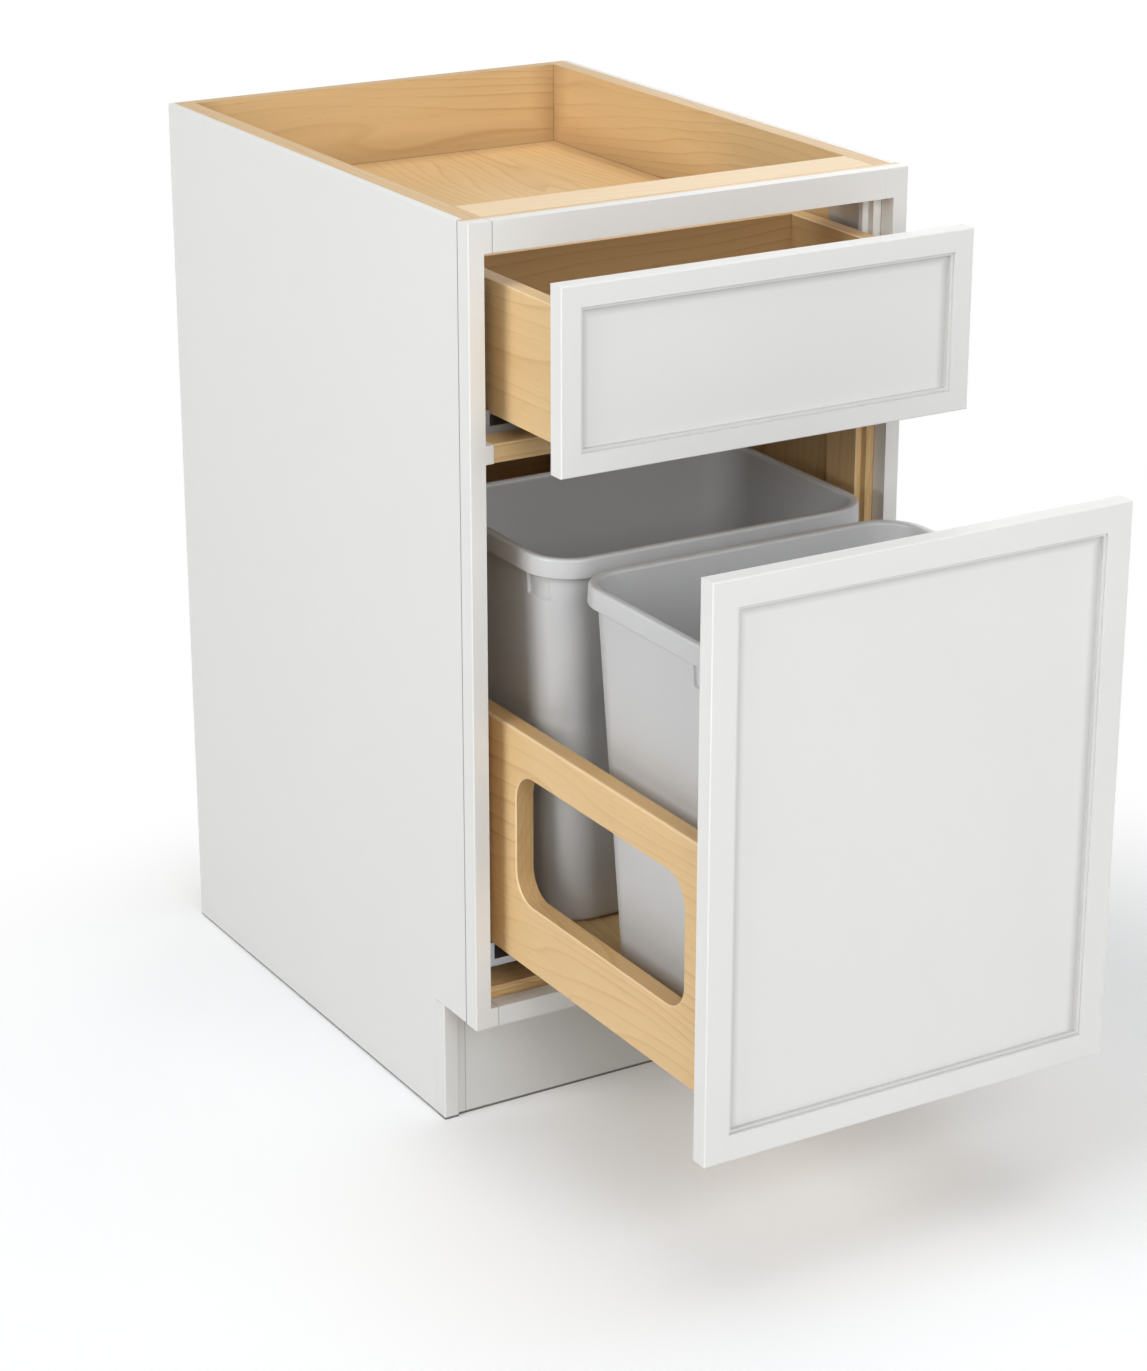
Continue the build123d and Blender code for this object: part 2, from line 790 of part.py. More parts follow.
front_bin_y = pullout_front + cross_rail_thickness + bin_front_gap + bin_rim_depth / 2
bin_places = {
    "front_bin": front_bin_y,
    "rear_bin": front_bin_y + bin_rim_depth + bin_spacing,
}
for bin_name, bin_y in bin_places.items():
    with BuildPart() as waste_bin:
        add(bin_shell.part.moved(Location((0, bin_y, bin_base))))
    write(waste_bin, bin_name)
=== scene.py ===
"""Dresses the pull-out waste cabinet: paint, maple, moulded bins, slides, screws, a studio."""

import math
from functools import partial

import bmesh
import bpy
from bpy.props import FloatProperty, FloatVectorProperty, IntProperty, PointerProperty
from mathutils import Matrix, Vector


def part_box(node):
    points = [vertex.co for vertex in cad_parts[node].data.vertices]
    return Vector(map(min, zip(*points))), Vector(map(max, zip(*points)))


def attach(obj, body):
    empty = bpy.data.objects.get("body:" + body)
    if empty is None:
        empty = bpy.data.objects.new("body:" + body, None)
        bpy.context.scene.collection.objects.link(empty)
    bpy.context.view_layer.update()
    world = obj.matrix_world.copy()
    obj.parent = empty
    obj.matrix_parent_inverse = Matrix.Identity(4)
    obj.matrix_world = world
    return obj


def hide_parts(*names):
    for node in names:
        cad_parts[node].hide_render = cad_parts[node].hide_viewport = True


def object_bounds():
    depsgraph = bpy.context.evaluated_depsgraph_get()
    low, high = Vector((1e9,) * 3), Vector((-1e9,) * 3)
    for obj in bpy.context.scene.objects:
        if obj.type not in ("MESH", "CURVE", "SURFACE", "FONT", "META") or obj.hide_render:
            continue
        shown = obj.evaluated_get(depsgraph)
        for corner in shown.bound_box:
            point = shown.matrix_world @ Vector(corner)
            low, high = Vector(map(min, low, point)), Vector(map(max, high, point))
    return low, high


bl_info = {
    "name": "Pull-out Waste Cabinet",
    "version": (1, 0, 0),
    "blender": (4, 5, 0),
    "location": "3D Viewport > Sidebar > Cabinet",
    "description": "Paint, maple, moulded bins, slides and screws for a waste cabinet",
    "category": "Object",
}

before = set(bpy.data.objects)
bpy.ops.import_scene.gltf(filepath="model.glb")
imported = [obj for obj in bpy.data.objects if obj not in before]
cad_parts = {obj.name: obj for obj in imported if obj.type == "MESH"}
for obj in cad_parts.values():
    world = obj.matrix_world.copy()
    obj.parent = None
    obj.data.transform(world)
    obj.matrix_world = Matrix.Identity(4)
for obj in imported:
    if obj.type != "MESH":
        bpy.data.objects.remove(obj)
cad_low, cad_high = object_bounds()
cad_middle = (cad_low + cad_high) / 2
rail_low, rail_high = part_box("top_rail")
tray_low, tray_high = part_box("tray_floor")

# ------ what each piece is made of
BOTH = ("left", "right")
FRONTS = {"door_frame": "door_panel", "drawer_front_frame": "drawer_front_panel"}
PAINTED_TO_FLOOR = [
    "toe_board",
    *[f"{side}_{piece}" for side in BOTH for piece in ("side_skin", "toe_strip")],
]
PAINTED_OVER_MAPLE = ["top_rail", "bottom_rail", "left_stile", "right_stile"]
STEEL = [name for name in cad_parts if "slide" in name]
BINS = ["front_bin", "rear_bin"]

# Maple boards: the way the grain runs, the way the board is thick, and how strong its plies show.
MAPLE = {
    "back_panel": ("X", "Y", 0.28),
    "cabinet_floor": ("X", "Z", 0.45),
    "tray_floor": ("Y", "Z", 0.45),
    "front_stretcher": ("X", "Z", 0.0),
    "mid_rail": ("X", "Z", 0.0),
    "drawer_box_front": ("X", "Y", 0.0),
    "drawer_back": ("X", "Y", 0.0),
    "drawer_bottom": ("X", "Z", 0.45),
    "front_cross_rail": ("X", "Y", 0.0),
    "rear_cross_rail": ("X", "Y", 0.0),
    "bin_platform": ("Y", "Z", 0.45),
}
for side in BOTH:
    MAPLE[f"{side}_side_panel"] = ("Z", "X", 0.28)
    MAPLE[f"{side}_drawer_side"] = ("Y", "X", 0.0)
    MAPLE[f"{side}_pullout_side"] = ("Y", "X", 0.16)
    for cleat in ("lower_front", "upper_front", "rear"):
        MAPLE[f"{side}_{cleat}_cleat"] = ("Z", "X", 0.0)
PALE_BOARDS = ["front_stretcher"]
BOARD_LIGHT_AND_SHADE = {  # painted light on the tray floor, and painted shade on the back panel and the side panels
    "tray_floor": 1.13,
    "back_panel": 0.87,
    "left_side_panel": 0.93,
    "right_side_panel": 0.93,
}
TO_RIGHT, TO_LEFT = (1.0, 0.0, 0.0), (-1.0, 0.0, 0.0)
TO_BACK, TO_FRONT, UP = (0.0, 1.0, 0.0), (0.0, -1.0, 0.0), (0.0, 0.0, 1.0)
TRAY_FACES = {  # the way that each board of the top tray looks into it
    "back_panel": TO_FRONT,
    "tray_floor": UP,
    "left_side_panel": TO_RIGHT,
    "right_side_panel": TO_LEFT,
}
DRAWER_FACES = {  # the way that each board of the drawer looks into it
    "drawer_box_front": TO_BACK,
    "drawer_back": TO_FRONT,
    "drawer_bottom": UP,
    "left_drawer_side": TO_RIGHT,
    "right_drawer_side": TO_LEFT,
}


# ------ settings
def length(name, description, default):
    """Setting for a length."""
    return FloatProperty(name=name, description=description, default=default, unit="LENGTH")


def dullness_of(surface, default):
    """Setting for the roughness of a surface."""
    return FloatProperty(
        name="Roughness",
        description=f"How dull the {surface} is",
        subtype="FACTOR",
        default=default,
        min=0.0,
        max=1.0,
    )


def lamp_power(lamp, default):
    """Setting for the power of a lamp, in watts."""
    return FloatProperty(
        name=f"{lamp.title()} lamp",
        description=f"Power of the {lamp} lamp",
        unit="POWER",
        default=default,
    )


class PaintSettings(bpy.types.PropertyGroup):
    """Satin cabinet paint."""

    colour: FloatVectorProperty(
        name="Paint",
        description="Colour of the paint",
        subtype="COLOR",
        default=(0.80, 0.80, 0.785),
    )
    roughness: dullness_of("paint", 0.42)
    return_width: length(
        "Paint return", "How far the paint laps over the top edge of the face frame", 0.0125
    )
    lap: length("Paint lap", "How far the paint laps behind the face frame beside the drawer", 0.012)


class MapleSettings(bpy.types.PropertyGroup):
    """Clear-coated natural maple."""

    light: FloatVectorProperty(
        name="Early wood", description="Light tone", subtype="COLOR", default=(0.785, 0.555, 0.288)
    )
    dark: FloatVectorProperty(
        name="Late wood", description="Dark tone", subtype="COLOR", default=(0.50, 0.27, 0.088)
    )
    # the tone of a pale board, and of the painted highlight on the eased edges
    pale: FloatVectorProperty(
        name="Pale board",
        description="Light tone of a pale board and of the eased edges",
        subtype="COLOR",
        default=(0.87, 0.67, 0.42),
    )
    roughness: dullness_of("clear coat", 0.45)
    ply: length("Ply", "Thickness of one ply", 0.0022)
    # painted shade, laid in the corners of the tray and inside the drawer
    painted_shade: FloatVectorProperty(
        name="Painted shade",
        description="Tone in the corners of the tray and inside the drawer",
        subtype="COLOR",
        default=(0.22, 0.12, 0.05),
    )
    edge_shade: FloatProperty(
        name="Edge shade",
        description="How much darker the edges of the side frames are",
        subtype="FACTOR",
        default=0.4,
    )
    # painted shade on the inner faces of the drawer
    inside_shade: FloatProperty(
        name="Inside shade",
        description="How much darker the drawer is inside",
        subtype="FACTOR",
        default=0.4,
    )


class PlasticSettings(bpy.types.PropertyGroup):
    """Moulded plastic of the bins."""

    colour: FloatVectorProperty(
        name="Plastic",
        description="Colour of the bins",
        subtype="COLOR",
        default=(0.58, 0.585, 0.59),
    )
    roughness: dullness_of("plastic", 0.30)


class SteelSettings(bpy.types.PropertyGroup):
    """Zinc-plated steel of the slides, brackets and screws."""

    colour: FloatVectorProperty(
        name="Zinc",
        description="Colour of the plating",
        subtype="COLOR",
        default=(0.52, 0.55, 0.60),
    )
    roughness: dullness_of("plating", 0.34)


class BinSettings(bpy.types.PropertyGroup):
    """Sizes of a moulded bin. Its outer size comes from the frame."""

    wall: length("Wall", "Wall thickness", 0.0025)
    draft: length("Draft", "How far each wall leans in", 0.017)
    corner: length("Corner", "Corner radius of the body", 0.037)
    base_round: length("Base round", "Radius round the base", 0.007)
    overhang: length("Overhang", "Rim past the body", 0.008)
    skirt: length("Skirt", "Height of the rim", 0.017)
    flare: length("Flare", "How far the skirt spreads", 0.0008)
    lip_round: length("Lip round", "Radius of the rim's top", 0.0028)
    pad_height: length("Pad height", "Corner pads below the rim", 0.026)
    pad_reach: length("Pad reach", "Corner pads past the corner", 0.012)
    pad_lift: length("Pad lift", "Corner pads off the wall", 0.0022)
    segments: IntProperty(name="Segments", description="Faces round a corner", default=14, min=4)


class ScrewSettings(bpy.types.PropertyGroup):
    """Small pan-head screws."""

    head: length("Head", "Head diameter", 0.008)
    rise: length("Rise", "Head height", 0.0022)
    recess: length("Recess", "Depth of the drive", 0.0014)


class StageSettings(bpy.types.PropertyGroup):
    """Camera, floor and lamps."""

    eye: FloatVectorProperty(
        name="Camera",
        description="Camera's place",
        unit="LENGTH",
        default=(-1.608, -3.1146, 1.539),
    )
    pitch: FloatProperty(
        name="Pitch",
        description="Camera's tilt from straight down",
        default=math.radians(69.33),
        unit="ROTATION",
    )
    yaw: FloatProperty(
        name="Yaw", description="Camera's turn", default=math.radians(-30.63), unit="ROTATION"
    )
    lens: FloatProperty(name="Lens", description="Focal length in mm", default=90.5, unit="CAMERA")
    floor_colour: FloatVectorProperty(
        name="Floor",
        description="Colour of the floor",
        subtype="COLOR",
        default=(0.70, 0.70, 0.70),
    )
    floor_seen: FloatVectorProperty(
        name="Floor seen",
        description="Colour the camera sees",
        subtype="COLOR",
        default=(1.015, 1.03, 1.045),
    )
    floor_glow: FloatProperty(
        name="Floor glow", description="White the camera sees in the near floor", default=0.03
    )
    white_from: length("White from", "Where the floor turns white", 0.55)
    white_by: length("White by", "Where the floor is white", 1.10)
    ambient: FloatProperty(name="Ambient", description="Light from all round", default=0.15)
    key: lamp_power("key", 107.0)
    front: lamp_power("front", 144.0)
    top: lamp_power("top", 33.0)
    fill: lamp_power("fill", 36.0)


# ------ node helpers
VECTOR = ("Vector", None)  # a group's sockets, each with its kind and its default
VALUE = ("Float", None)


def feed(tree, sockets, values):
    """Link or set each named input."""
    for name, value in values.items():
        if isinstance(value, bpy.types.NodeSocket):
            tree.links.new(value, sockets[name])
        else:
            sockets[name].default_value = value


def add_node(tree, kind, inputs=None, **settings):
    """Add a node, set its properties, and fill its inputs with values or links."""
    made = tree.nodes.new(kind)
    for name, value in settings.items():
        setattr(made, name, value)
    feed(tree, made.inputs, inputs or {})
    return made


def math_node(tree, operation, first, *others, clamp=False):
    """Value of one arithmetic operation, carried on through the other values."""
    for second in others or (0.0,):
        inputs = {0: first, 1: second}
        made = add_node(tree, "ShaderNodeMath", inputs, operation=operation, use_clamp=clamp)
        first = made.outputs["Value"]
    return first


def product(tree, *values):
    """Product of masks and numbers."""
    return math_node(tree, "MULTIPLY", *values)


def vector_math(tree, operation, first, second):
    """Outputs of one step of vector arithmetic."""
    inputs = {0: first, 1: second}
    return add_node(tree, "ShaderNodeVectorMath", inputs, operation=operation).outputs


def split(tree, vector):
    """The X, Y and Z of a vector."""
    return add_node(tree, "ShaderNodeSeparateXYZ", {"Vector": vector}).outputs


def mapped(tree, vector, scale=(1.0, 1.0, 1.0), turn=(0.0, 0.0, 0.0), shift=(0.0, 0.0, 0.0)):
    """Coordinates scaled along each axis, turned and shifted."""
    inputs = {"Vector": vector, "Location": shift, "Rotation": turn, "Scale": scale}
    return add_node(tree, "ShaderNodeMapping", inputs).outputs["Vector"]


def ramp(tree, value, low, high, to_low=0.0, to_high=1.0):
    """Smooth step of a value from one range to another."""
    made = add_node(
        tree,
        "ShaderNodeMapRange",
        {"Value": value, "From Min": low, "From Max": high, "To Min": to_low, "To Max": to_high},
        interpolation_type="SMOOTHSTEP",
    )
    return made.outputs["Result"]


def mix_colour(tree, factor, first, second, blend="MIX"):
    """Mix of two colours."""
    inputs = {0: factor, 6: first, 7: second}
    return add_node(tree, "ShaderNodeMix", inputs, data_type="RGBA", blend_type=blend).outputs[2]


def noise(tree, vector, scale, detail=2.0, roughness=0.5, distortion=0.0, stretch=None):
    """Value of a noise texture, its coordinates stretched along each axis or left as they are."""
    inputs = {
        "Vector": mapped(tree, vector, stretch) if stretch else vector,
        "Scale": scale,
        "Detail": detail,
        "Roughness": roughness,
        "Distortion": distortion,
    }
    return add_node(tree, "ShaderNodeTexNoise", inputs).outputs["Fac"]


def new_group(name, inputs, outputs):
    """A shader node group, with the sockets that lead in and the sockets that lead out."""
    group = bpy.data.node_groups.new(name, "ShaderNodeTree")
    for direction, sockets in (("INPUT", inputs), ("OUTPUT", outputs)):
        for socket_name, (kind, default) in sockets.items():
            socket = group.interface.new_socket(
                name=socket_name, in_out=direction, socket_type=f"NodeSocket{kind}"
            )
            if default is not None:
                socket.default_value = default
    given = group.nodes.new("NodeGroupInput").outputs
    return group, given, group.nodes.new("NodeGroupOutput").inputs


def place_group(tree, name, inputs):
    """Outputs of a node group placed in a material."""
    group = bpy.data.node_groups[name]
    return add_node(tree, "ShaderNodeGroup", inputs, node_tree=group).outputs


def new_material(name):
    """An empty material with its tree, its shader and its coordinates."""
    material = bpy.data.materials.new(name)
    material.use_nodes = True
    tree = material.node_tree
    shader = tree.nodes["Principled BSDF"]
    return material, tree, shader, tree.nodes.new("ShaderNodeTexCoord").outputs


def opaque(colour):
    """A colour with full alpha."""
    return (*colour, 1.0)


# ------ shared effects
REBATE_SPREAD = 0.010  # how far the shade in a front's rebate spreads over the panel
REBATE_SHADE = 0.32
BEAD_REACH = 0.0033  # from the edge of the panel to the front of the frame
BEAD_SHADE = 0.30
EASED_HIGHLIGHT = 0.75  # how strong the painted highlight on the eased edges is


def make_maple_figure():
    """Flat-sawn maple: growth lines, fibres and flecks along the group's own X."""
    group, given, result = new_group(
        "maple figure",
        {
            "Vector": VECTOR,
            "Light": ("Color", (0.76, 0.54, 0.29, 1.0)),
            "Dark": ("Color", (0.54, 0.33, 0.14, 1.0)),
            "Knots": VECTOR,
        },
        {"Color": ("Color", None), "Relief": VALUE, "Dullness": VALUE},
    )
    vector = given["Vector"]
    # growth lines: level lines of a long soft field, dark on one side and sharp on the other
    field = noise(group, vector, 1.0, 2.5, 0.5, 0.15, stretch=(1.0, 6.5, 6.5))
    field = product(group, field, 17.0)
    across = vector_math(group, "DOT_PRODUCT", vector, (4.0, 75.0, 75.0))["Value"]
    rings = math_node(group, "FRACT", math_node(group, "ADD", across, field))
    soft = product(group, rings, ramp(group, rings, 1.0, 0.9, 0.0, 0.4))
    crisp = ramp(group, rings, 0.74, 0.92, 0.0, 0.6)
    crisp = product(group, crisp, ramp(group, rings, 1.0, 0.95))
    patches = noise(group, vector, 1.7, stretch=(2.0, 9.0, 9.0))
    line = math_node(group, "ADD", soft, crisp)
    line = product(group, line, ramp(group, patches, 0.3, 0.65, 0.2, 1.0))
    # fibres, streaks, clouds and short flecks
    fibre = noise(group, vector, 1.0, 3.0, 0.6, stretch=(9.0, 420.0, 420.0))
    streak = noise(group, vector, 1.0, 3.0, 0.55, stretch=(1.8, 95.0, 95.0))
    cloud = noise(group, vector, 1.3, stretch=(3.0, 7.0, 7.0))
    fleck = noise(group, vector, 1.0, 1.0, stretch=(60.0, 520.0, 520.0))
    fleck = ramp(group, fleck, 0.69, 0.78)
    tone = product(group, line, 0.42)
    for value, share in ((fibre, 0.14), (streak, 0.26), (cloud, 0.20), (fleck, 0.22)):
        tone = math_node(group, "ADD", tone, product(group, value, share))
    tone = math_node(group, "SUBTRACT", tone, 0.24, clamp=True)
    # pin knots that run through the board
    cells = add_node(group, "ShaderNodeTexVoronoi", {"Vector": given["Knots"], "Scale": 6.5})
    knot = ramp(group, cells.outputs["Distance"], 0.014, 0.005)
    tone = math_node(group, "ADD", tone, product(group, knot, 0.55), clamp=True)
    colour = mix_colour(group, tone, given["Light"], given["Dark"])
    relief = math_node(group, "ADD", product(group, fibre, -0.5), line)
    dullness = ramp(group, fibre, 0.3, 0.7, -0.04, 0.05)
    feed(group, result, {"Color": colour, "Relief": relief, "Dullness": dullness})


def make_ply_edge():
    """Dark and light plies on the edges of a board, none on its faces."""
    group, given, result = new_group(
        "ply edge",
        {"Vector": VECTOR, "Depth": VALUE, "Facing": VALUE, "Ply": VALUE, "Strength": VALUE},
        {"Mask": VALUE},
    )
    wobble = product(group, noise(group, given["Vector"], 60.0), 0.0006)
    depth = math_node(group, "ADD", given["Depth"], wobble)
    layer = math_node(group, "PINGPONG", depth, given["Ply"])
    stripes = ramp(group, math_node(group, "DIVIDE", layer, given["Ply"]), 0.35, 0.65)
    edge_on = ramp(group, given["Facing"], 0.7, 0.3)
    mottle = ramp(group, noise(group, given["Vector"], 140.0, 3.0), 0.25, 0.75, 0.55, 1.0)
    mask = product(group, stripes, edge_on, mottle, given["Strength"])
    feed(group, result, {"Mask": mask})


def make_board_edge():
    """Masks of a board's edges, and of the painted highlight where an eased edge meets a face."""
    group, given, result = new_group("board edge", {"Facing": VALUE}, {"Edge": VALUE, "Eased": VALUE})
    rise = ramp(group, given["Facing"], 0.3, 0.5)
    fall = ramp(group, given["Facing"], 0.95, 0.85)
    eased = product(group, rise, fall, EASED_HIGHLIGHT)
    feed(group, result, {"Edge": ramp(group, given["Facing"], 0.3, 0.1), "Eased": eased})


def make_inner_face():
    """Masks of the face of a board that looks one way: the flat of it, and with its edges."""
    group, given, result = new_group(
        "inner face", {"Normal": VECTOR, "Direction": VECTOR}, {"Flat": VALUE, "Whole": VALUE}
    )
    inward = vector_math(group, "DOT_PRODUCT", given["Normal"], given["Direction"])["Value"]
    whole = math_node(group, "GREATER_THAN", inward, 0.5)
    feed(group, result, {"Flat": ramp(group, inward, 0.8, 0.9), "Whole": whole})


def make_soft_line():
    """A line at one place along a coordinate: full as far as its core, none past its reach."""
    group, given, result = new_group(
        "soft line",
        {"Coordinate": VALUE, "Place": VALUE, "Core": VALUE, "Reach": VALUE, "Strength": VALUE},
        {"Mask": VALUE},
    )
    away = math_node(group, "SUBTRACT", given["Coordinate"], given["Place"])
    away = math_node(group, "ABSOLUTE", away)
    mask = ramp(group, away, given["Reach"], given["Core"], 0.0, given["Strength"])
    feed(group, result, {"Mask": mask})


def make_rebate():
    """Shade where a panel stands back in its frame: on the panel, and on the frame's bead."""
    group, given, result = new_group(
        "rebate",
        {"Vector": VECTOR, "Normal": VECTOR, "Low": VECTOR, "High": VECTOR},
        {"Panel": VALUE, "Bead": VALUE},
    )
    low = split(group, vector_math(group, "SUBTRACT", given["Low"], given["Vector"])["Vector"])
    high = split(group, vector_math(group, "SUBTRACT", given["Vector"], given["High"])["Vector"])
    # how far a point lies past the sides and the top of the panel, and then past all its edges
    past = math_node(group, "MAXIMUM", low["X"], high["X"], high["Z"])
    panel = ramp(group, past, -REBATE_SPREAD, 0.0, 0.0, REBATE_SHADE)
    past = math_node(group, "MAXIMUM", past, low["Z"])
    on_bead = math_node(group, "LESS_THAN", past, BEAD_REACH)
    # painted shade on the bead, most on the steps that look up, to hold back the light on them
    upward = ramp(group, split(group, given["Normal"])["Z"], -0.5, 0.7, 0.0, BEAD_SHADE)
    bead = product(group, on_bead, upward)
    feed(group, result, {"Panel": panel, "Bead": bead})


def make_lapped_paint():
    """Paint on the wood from the face frame back to an edge, between two heights."""
    group, given, result = new_group(
        "lapped paint",
        {"Vector": VECTOR, "Edge": VALUE, "Low": VALUE, "High": VALUE},
        {"Mask": VALUE},
    )
    point = split(group, given["Vector"])
    forward = math_node(group, "LESS_THAN", point["Y"], given["Edge"])
    above = math_node(group, "GREATER_THAN", point["Z"], given["Low"])
    below = math_node(group, "LESS_THAN", point["Z"], given["High"])
    feed(group, result, {"Mask": product(group, forward, above, below)})


def new_film(name):
    """A group for the relief, the change of gloss and the tone of a thin surface layer."""
    outputs = {"Relief": VALUE, "Dullness": VALUE, "Tone": VALUE}
    film, given, result = new_group(name, {"Vector": VECTOR}, outputs)
    return film, given["Vector"], result


def make_paint_film():
    """Sprayed paint: a fine orange peel, a slow change of gloss and a trace of tone."""
    film, vector, result = new_film("paint film")
    peel = noise(film, vector, 420.0)
    slow = noise(film, vector, 5.0)
    dullness = ramp(film, slow, 0.3, 0.7, -0.05, 0.05)
    tone = ramp(film, slow, 0.3, 0.7, 0.985, 1.0)
    feed(film, result, {"Relief": peel, "Dullness": dullness, "Tone": tone})


def make_moulded_skin():
    """Fine spark-eroded texture of a mould, with faint flow marks down the wall."""
    film, vector, result = new_film("moulded skin")
    grain = noise(film, vector, 1500.0, 2.0, 0.6)
    flow = noise(film, vector, 1.0, 3.0, stretch=(14.0, 14.0, 2.0))
    dullness = ramp(film, flow, 0.3, 0.7, -0.02, 0.03)
    tone = ramp(film, flow, 0.3, 0.7, 0.985, 1.0)
    feed(film, result, {"Relief": grain, "Dullness": dullness, "Tone": tone})


def make_rolled_steel():
    """Brushing along the bar and the cloudy spangle of zinc."""
    film, vector, result = new_film("rolled steel")
    brushing = noise(film, vector, 1.0, 2.0, 0.6, stretch=(900.0, 12.0, 900.0))
    cloud = noise(film, vector, 45.0, 3.0, 0.6)
    dullness = ramp(film, cloud, 0.3, 0.7, -0.07, 0.09)
    tone = ramp(film, brushing, 0.2, 0.8, 0.9, 1.0)
    feed(film, result, {"Relief": brushing, "Dullness": dullness, "Tone": tone})


# ------ materials
SHADE = (0.05, 0.045, 0.04)
RELIEF = {  # depth of each effect's relief
    "paint film": 0.00001,
    "moulded skin": 0.00002,
    "rolled steel": 0.00001,
    "maple figure": 0.00004,
}
CLEAR_COAT = {"Specular IOR Level": 0.2, "Coat Weight": 0.06, "Coat Roughness": 0.25}
PLATING_METALLIC = 0.6  # dulled by its passivation
SCREW_METALLIC = 1.0
PANEL_TONGUE = 0.0067  # how far a panel reaches into the groove of its frame
PAINT_FADE = 0.0008  # how softly the paint ends on the top edge
DARK_LINE_CORE = 0.4  # share of a dark line's reach that is fully dark
SEAM_AND_SHADE_LINES = (  # axis, place, reach and strength of each dark line in the paint
    ("Y", rail_high.y, 0.0010, 0.75),  # painted shade in the groove behind the stiles
    ("X", rail_low.x, 0.0006, 0.45),  # the joint of rail and left stile
    ("Z", 0.0, 0.0030, 0.90),  # painted contact shade along the floor
)
# painted shade in the corners of the tray: a thin dark line and a wide shade round it
CORNER_SHADE_LINES = ((0.0004, 0.0012, 0.6), (0.0, 0.035, 0.3))  # core, reach and strength
GRAIN_TURN = {  # turns a board's coordinates so that its grain runs along X
    "X": (0.0, 0.0, 0.0),
    "Y": (0.0, 0.0, math.radians(-90)),
    "Z": (0.0, math.radians(90), 0.0),
}
LOG_STEP = (0.37, 0.61, 0.23)  # from one board's place in the log to the next one's
KNOT_THROUGH, KNOT_ALONG = 0.02, 0.7  # scale through the board's thickness and along its grain


def tinted(tree, tone, colour):
    """A colour dimmed by a tone that changes over the surface."""
    grey = add_node(tree, "ShaderNodeCombineColor", {"Red": tone, "Green": tone, "Blue": tone})
    return mix_colour(tree, 1.0, opaque(colour), grey.outputs["Color"], "MULTIPLY")


def layered(tree, colour, layers):
    """A colour with others laid over it, each given as its mask and its tone."""
    for mask, tone in layers:
        colour = mix_colour(tree, mask, colour, opaque(tone))
    return colour


def soft_line(tree, *values):
    """Mask of a line, from its coordinate, place, core, reach and strength."""
    names = ("Coordinate", "Place", "Core", "Reach", "Strength")
    return place_group(tree, "soft line", dict(zip(names, values)))["Mask"]


def seam_and_shade_layers(tree, coordinates):
    """Dark lines in the paint: the rail joint, and painted shade in the groove and at the floor."""
    point = split(tree, coordinates["Object"])
    return [
        (soft_line(tree, point[axis], place, DARK_LINE_CORE * reach, reach, strength), SHADE)
        for axis, place, reach, strength in SEAM_AND_SHADE_LINES
    ]


def rebate_layers(tree, coordinates, panel, part):
    """Shade round the part of a panel that shows in its frame, on the panel or on the bead."""
    low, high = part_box(panel)
    tongue = Vector((PANEL_TONGUE, 0.0, PANEL_TONGUE))
    inputs = {
        "Vector": coordinates["Object"],
        "Normal": coordinates["Normal"],
        "Low": low + tongue,
        "High": high - tongue,
    }
    return [(place_group(tree, "rebate", inputs)[part], SHADE)]


def wire_surface(tree, shader, effect_name, effect, colour, roughness):
    """Give the shader its colour, and the gloss and relief of an effect."""
    relief = {"Height": effect["Relief"], "Distance": RELIEF[effect_name]}
    values = {
        "Base Color": colour,
        "Roughness": math_node(tree, "ADD", effect["Dullness"], roughness),
        "Normal": add_node(tree, "ShaderNodeBump", relief).outputs["Normal"],
    }
    feed(tree, shader.inputs, values)


def film_material(name, film_name, settings, metallic=0.0, layers=None):
    """A coloured surface whose relief, gloss and tone come from one shared effect."""
    material, tree, shader, coordinates = new_material(name)
    film = place_group(tree, film_name, {"Vector": coordinates["Object"]})
    colour = tinted(tree, film["Tone"], settings.colour)
    if layers:
        colour = layered(tree, colour, layers(tree, coordinates))
    wire_surface(tree, shader, film_name, film, colour, settings.roughness)
    shader.inputs["Metallic"].default_value = metallic
    return material


def paint_over_maple(paint, maple):
    """Paint that stops a few millimetres over the top edge, with bare maple behind it."""
    material, tree, shader, coordinates = new_material("painted face frame")
    place = coordinates["Object"]
    film = place_group(tree, "paint film", {"Vector": place})
    tones = {"Light": opaque(maple.light), "Dark": opaque(maple.dark)}
    wood = place_group(tree, "maple figure", {"Vector": place, "Knots": place, **tones})
    point = split(tree, place)
    edge = rail_low.y + paint.return_width
    behind = ramp(tree, point["Y"], edge, edge + PAINT_FADE)
    upward = ramp(tree, split(tree, coordinates["Normal"])["Z"], 0.8, 0.95)
    on_top = ramp(tree, point["Z"], cad_high.z - 0.002, cad_high.z - 0.001)
    bare = product(tree, behind, upward, on_top)
    colour = mix_colour(tree, bare, tinted(tree, film["Tone"], paint.colour), wood["Color"])
    # the rail joint, and painted shade in the groove and along the floor
    colour = layered(tree, colour, seam_and_shade_layers(tree, coordinates))
    wire_surface(tree, shader, "paint film", film, colour, paint.roughness)
    return material


